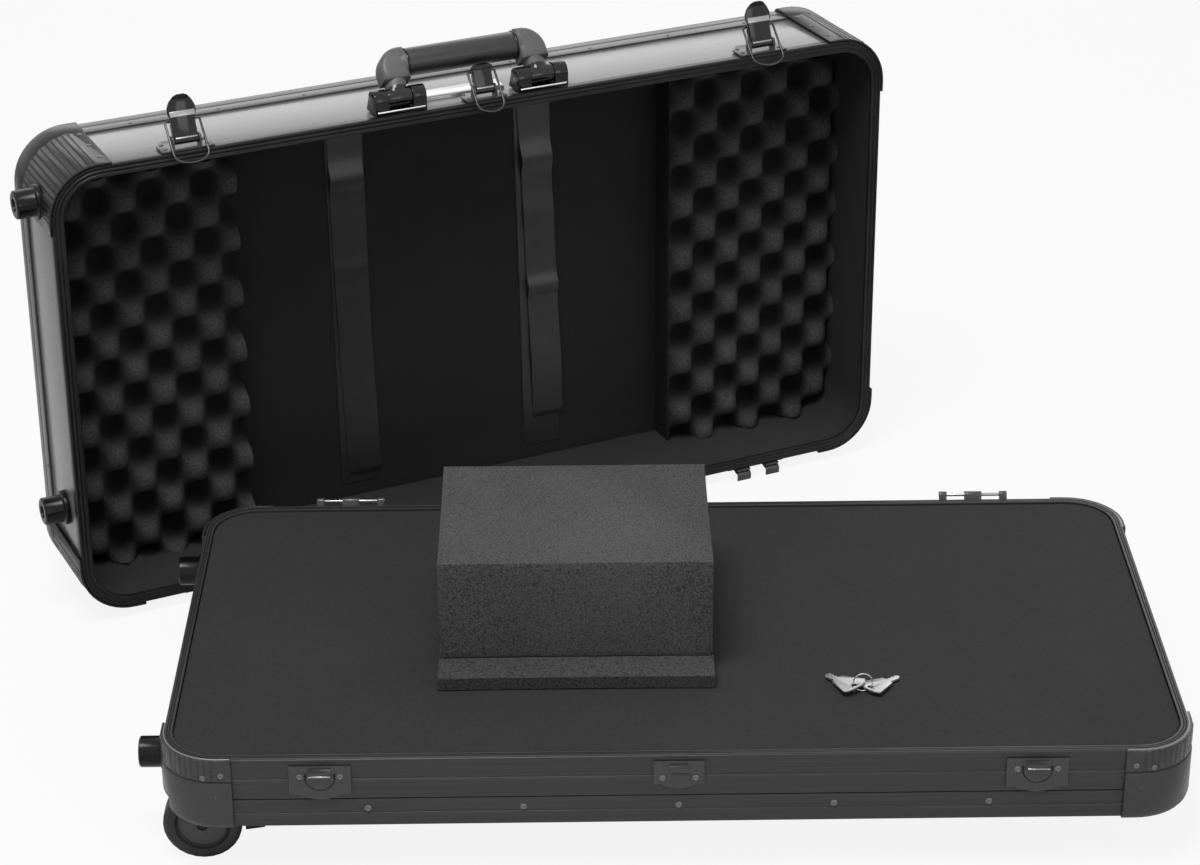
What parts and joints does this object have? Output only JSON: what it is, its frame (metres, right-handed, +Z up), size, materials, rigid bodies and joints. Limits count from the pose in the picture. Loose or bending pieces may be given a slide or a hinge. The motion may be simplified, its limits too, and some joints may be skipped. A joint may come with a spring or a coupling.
{
  "type": "dj controller trolley case",
  "caption": "Flight case for a DJ controller: foam-lined wheeled tray, deep lid lifted off and stood on its hinge side, draw latches, carrying handle, pull-out handle, foam and keys.",
  "frame": {"origin": "on the floor, under the middle of the whole group of tray and lid", "axes": "+X along the case towards the pull-out handle, +Y towards the hinges, +Z up"},
  "size_m": [0.9622, 0.8342, 0.4783],
  "materials": {
    "catch_left": "black glossy enamel",
    "catch_middle": "black glossy enamel",
    "catch_right": "black glossy enamel",
    "egg_crate_left": "dark open foam",
    "egg_crate_right": "dark open foam",
    "foam_block": "grey foam with a fine speckle",
    "foam_slab": "grey foam with a fine speckle",
    "front_wheel": "rubber",
    "front_wheel_bracket": "moulded",
    "handle_bracket_left": "polished moulding",
    "handle_bracket_right": "polished moulding",
    "handle_grip": "satin",
    "handle_plate": "brushed",
    "hinge_pin_left": "black glossy enamel",
    "hinge_pin_right": "black glossy enamel",
    "key_left": "bright nickel",
    "key_right": "bright nickel",
    "key_ring": "bright nickel",
    "latch_left_bail": "black glossy enamel",
    "latch_left_lever": "black glossy enamel",
    "latch_left_plate": "black glossy enamel",
    "latch_middle_bail": "black glossy enamel",
    "latch_middle_lever": "black glossy enamel",
    "latch_middle_plate": "black glossy enamel",
    "latch_right_bail": "black glossy enamel",
    "latch_right_lever": "black glossy enamel",
    "latch_right_plate": "black glossy enamel",
    "lid_back_panel": "smooth laminated board",
    "lid_corner_high_left": "dark satin paint",
    "lid_corner_high_right": "dark satin paint",
    "lid_corner_low_left": "dark satin paint",
    "lid_corner_low_right": "dark satin paint",
    "lid_edge_frame": "dark satin anodised profile",
    "lid_hinge_left": "black glossy enamel",
    "lid_hinge_right": "black glossy enamel",
    "lid_rim_frame": "dark satin anodised profile",
    "lid_stub_foot_high": "moulded",
    "lid_stub_foot_low": "moulded",
    "lid_wall_board": "smooth laminated board",
    "pull_handle_button": "satin",
    "pull_handle_channels": "black glossy enamel",
    "pull_handle_grip": "moulded",
    "pull_handle_tubes": "brushed",
    "rear_wheel": "rubber",
    "rear_wheel_bracket": "moulded",
    "rest_stand": "satin",
    "strap_left": "woven webbing",
    "strap_right": "woven webbing",
    "tray_bottom_panel": "laminated fibreboard",
    "tray_corner_front_left": "dark satin paint",
    "tray_corner_front_right": "dark satin paint",
    "tray_corner_rear_left": "dark satin paint",
    "tray_corner_rear_right": "dark satin paint",
    "tray_edge_frame": "dark satin anodised profile",
    "tray_foam_liner": "dark open foam",
    "tray_hinge_left": "black glossy enamel",
    "tray_hinge_right": "black glossy enamel",
    "tray_rim_frame": "dark satin anodised profile",
    "tray_stub_foot_front": "moulded",
    "tray_stub_foot_rear": "moulded"
  },
  "bodies": {
    "tray": {"tray_rim_frame": "tray_rim_frame", "tray_edge_frame": "tray_edge_frame", "tray_bottom_panel": "tray_bottom_panel", "tray_foam_liner": "tray_foam_liner", "tray_corner_front_right": "tray_corner_front_right", "tray_corner_rear_right": "tray_corner_rear_right", "tray_corner_rear_left": "tray_corner_rear_left", "tray_corner_front_left": "tray_corner_front_left", "tray_hinge_left": "tray_hinge_left", "tray_hinge_right": "tray_hinge_right", "catch_left": "catch_left", "catch_middle": "catch_middle", "catch_right": "catch_right", "tray_stub_foot_front": "tray_stub_foot_front", "tray_stub_foot_rear": "tray_stub_foot_rear", "front_wheel_bracket": "front_wheel_bracket", "rear_wheel_bracket": "rear_wheel_bracket", "pull_handle_channels": "pull_handle_channels", "rest_stand": "rest_stand"},
    "front_wheel": {"front_wheel": "front_wheel"},
    "rear_wheel": {"rear_wheel": "rear_wheel"},
    "pull_handle": {"pull_handle_tubes": "pull_handle_tubes", "pull_handle_grip": "pull_handle_grip"},
    "pull_button": {"pull_handle_button": "pull_handle_button"},
    "hinge_pins": {"hinge_pin_left": "hinge_pin_left", "hinge_pin_right": "hinge_pin_right"},
    "lid": {"lid_rim_frame": "lid_rim_frame", "lid_edge_frame": "lid_edge_frame", "lid_wall_board": "lid_wall_board", "lid_back_panel": "lid_back_panel", "lid_corner_low_right": "lid_corner_low_right", "lid_corner_high_right": "lid_corner_high_right", "lid_corner_high_left": "lid_corner_high_left", "lid_corner_low_left": "lid_corner_low_left", "lid_hinge_left": "lid_hinge_left", "lid_hinge_right": "lid_hinge_right", "lid_stub_foot_low": "lid_stub_foot_low", "lid_stub_foot_high": "lid_stub_foot_high", "latch_left_plate": "latch_left_plate", "latch_middle_plate": "latch_middle_plate", "latch_right_plate": "latch_right_plate", "handle_bracket_left": "handle_bracket_left", "handle_bracket_right": "handle_bracket_right", "handle_plate": "handle_plate", "egg_crate_left": "egg_crate_left", "egg_crate_right": "egg_crate_right", "strap_left": "strap_left", "strap_right": "strap_right"},
    "handle": {"handle_grip": "handle_grip"},
    "slab": {"foam_slab": "foam_slab"},
    "block": {"foam_block": "foam_block"},
    "keys": {"key_left": "key_left", "key_right": "key_right", "key_ring": "key_ring"},
    "latch_left_lever": {"latch_left_lever": "latch_left_lever"},
    "latch_left_bail": {"latch_left_bail": "latch_left_bail"},
    "latch_middle_lever": {"latch_middle_lever": "latch_middle_lever"},
    "latch_middle_bail": {"latch_middle_bail": "latch_middle_bail"},
    "latch_right_lever": {"latch_right_lever": "latch_right_lever"},
    "latch_right_bail": {"latch_right_bail": "latch_right_bail"}
  },
  "joints": [
    {"name": "lid_hinge", "type": "hinge", "parent": "tray", "child": "hinge_pins", "pos_m": [0.07802, 0.01727, 0.106], "axis": [-1, 0, 0], "range_deg": [-69.07, 0]},
    {"name": "lid_placing", "type": "hinge", "parent": "hinge_pins", "child": "lid", "pos_m": [-0.1666, -0.22752, -0.10691], "axis": [-0.6374, -0.14, 0.7577], "range_deg": [-32.32, 0]},
    {"name": "handle_swing", "type": "hinge", "parent": "lid", "child": "handle", "pos_m": [-0.08874, 0.15896, 0.4433], "axis": [0.908, 0.419, 0], "range_deg": [-42, 28]},
    {"name": "front_wheel_spin", "type": "hinge", "parent": "tray", "child": "front_wheel", "pos_m": [-0.29398, -0.37673, 0.031], "axis": [0, 1, 0], "continuous": true},
    {"name": "rear_wheel_spin", "type": "hinge", "parent": "tray", "child": "rear_wheel", "pos_m": [-0.29398, -0.02273, 0.031], "axis": [0, 1, 0], "continuous": true},
    {"name": "pull_handle_slide", "type": "slide", "parent": "tray", "child": "pull_handle", "axis": [1, 0, 0], "range_m": [0, 0.42]},
    {"name": "pull_button_press", "type": "slide", "parent": "pull_handle", "child": "pull_button", "axis": [-1, 0, 0], "range_m": [0, 0.0018], "stiffness_N_per_m": 300},
    {"name": "slab_lift", "type": "slide", "parent": "tray", "child": "slab", "axis": [0, 0, 1], "range_m": [0, 0.2]},
    {"name": "block_lift", "type": "slide", "parent": "slab", "child": "block", "axis": [0, 0, 1], "range_m": [0, 0.2]},
    {"name": "keys_lift", "type": "slide", "parent": "tray", "child": "keys", "axis": [0, 0, 1], "range_m": [0, 0.2]},
    {"name": "latch_left_turn", "type": "hinge", "parent": "lid", "child": "latch_left_lever", "pos_m": [-0.32636, 0.0438, 0.4393], "axis": [0.908, 0.419, 0], "range_deg": [-66, 0]},
    {"name": "bail_left_turn", "type": "hinge", "parent": "latch_left_lever", "child": "latch_left_bail", "pos_m": [-0.32917, 0.0499, 0.45437], "axis": [-0.908, -0.419, 0], "range_deg": [-24, 0]},
    {"name": "latch_middle_turn", "type": "hinge", "parent": "lid", "child": "latch_middle_lever", "pos_m": [-0.07575, 0.15944, 0.4393], "axis": [0.908, 0.419, 0], "range_deg": [-66, 0]},
    {"name": "bail_middle_turn", "type": "hinge", "parent": "latch_middle_lever", "child": "latch_middle_bail", "pos_m": [-0.07856, 0.16554, 0.45437], "axis": [-0.908, -0.419, 0], "range_deg": [-24, 0]},
    {"name": "latch_right_turn", "type": "hinge", "parent": "lid", "child": "latch_right_lever", "pos_m": [0.17486, 0.27508, 0.4393], "axis": [0.908, 0.419, 0], "range_deg": [-66, 0]},
    {"name": "bail_right_turn", "type": "hinge", "parent": "latch_right_lever", "child": "latch_right_bail", "pos_m": [0.17205, 0.28117, 0.45437], "axis": [-0.908, -0.419, 0], "range_deg": [-24, 0]}
  ],
  "couplings": [
    {"joint": "bail_left_turn", "follows": "latch_left_turn", "ratio": 0.36061},
    {"joint": "bail_middle_turn", "follows": "latch_middle_turn", "ratio": 0.36061},
    {"joint": "bail_right_turn", "follows": "latch_right_turn", "ratio": 0.36061}
  ]
}
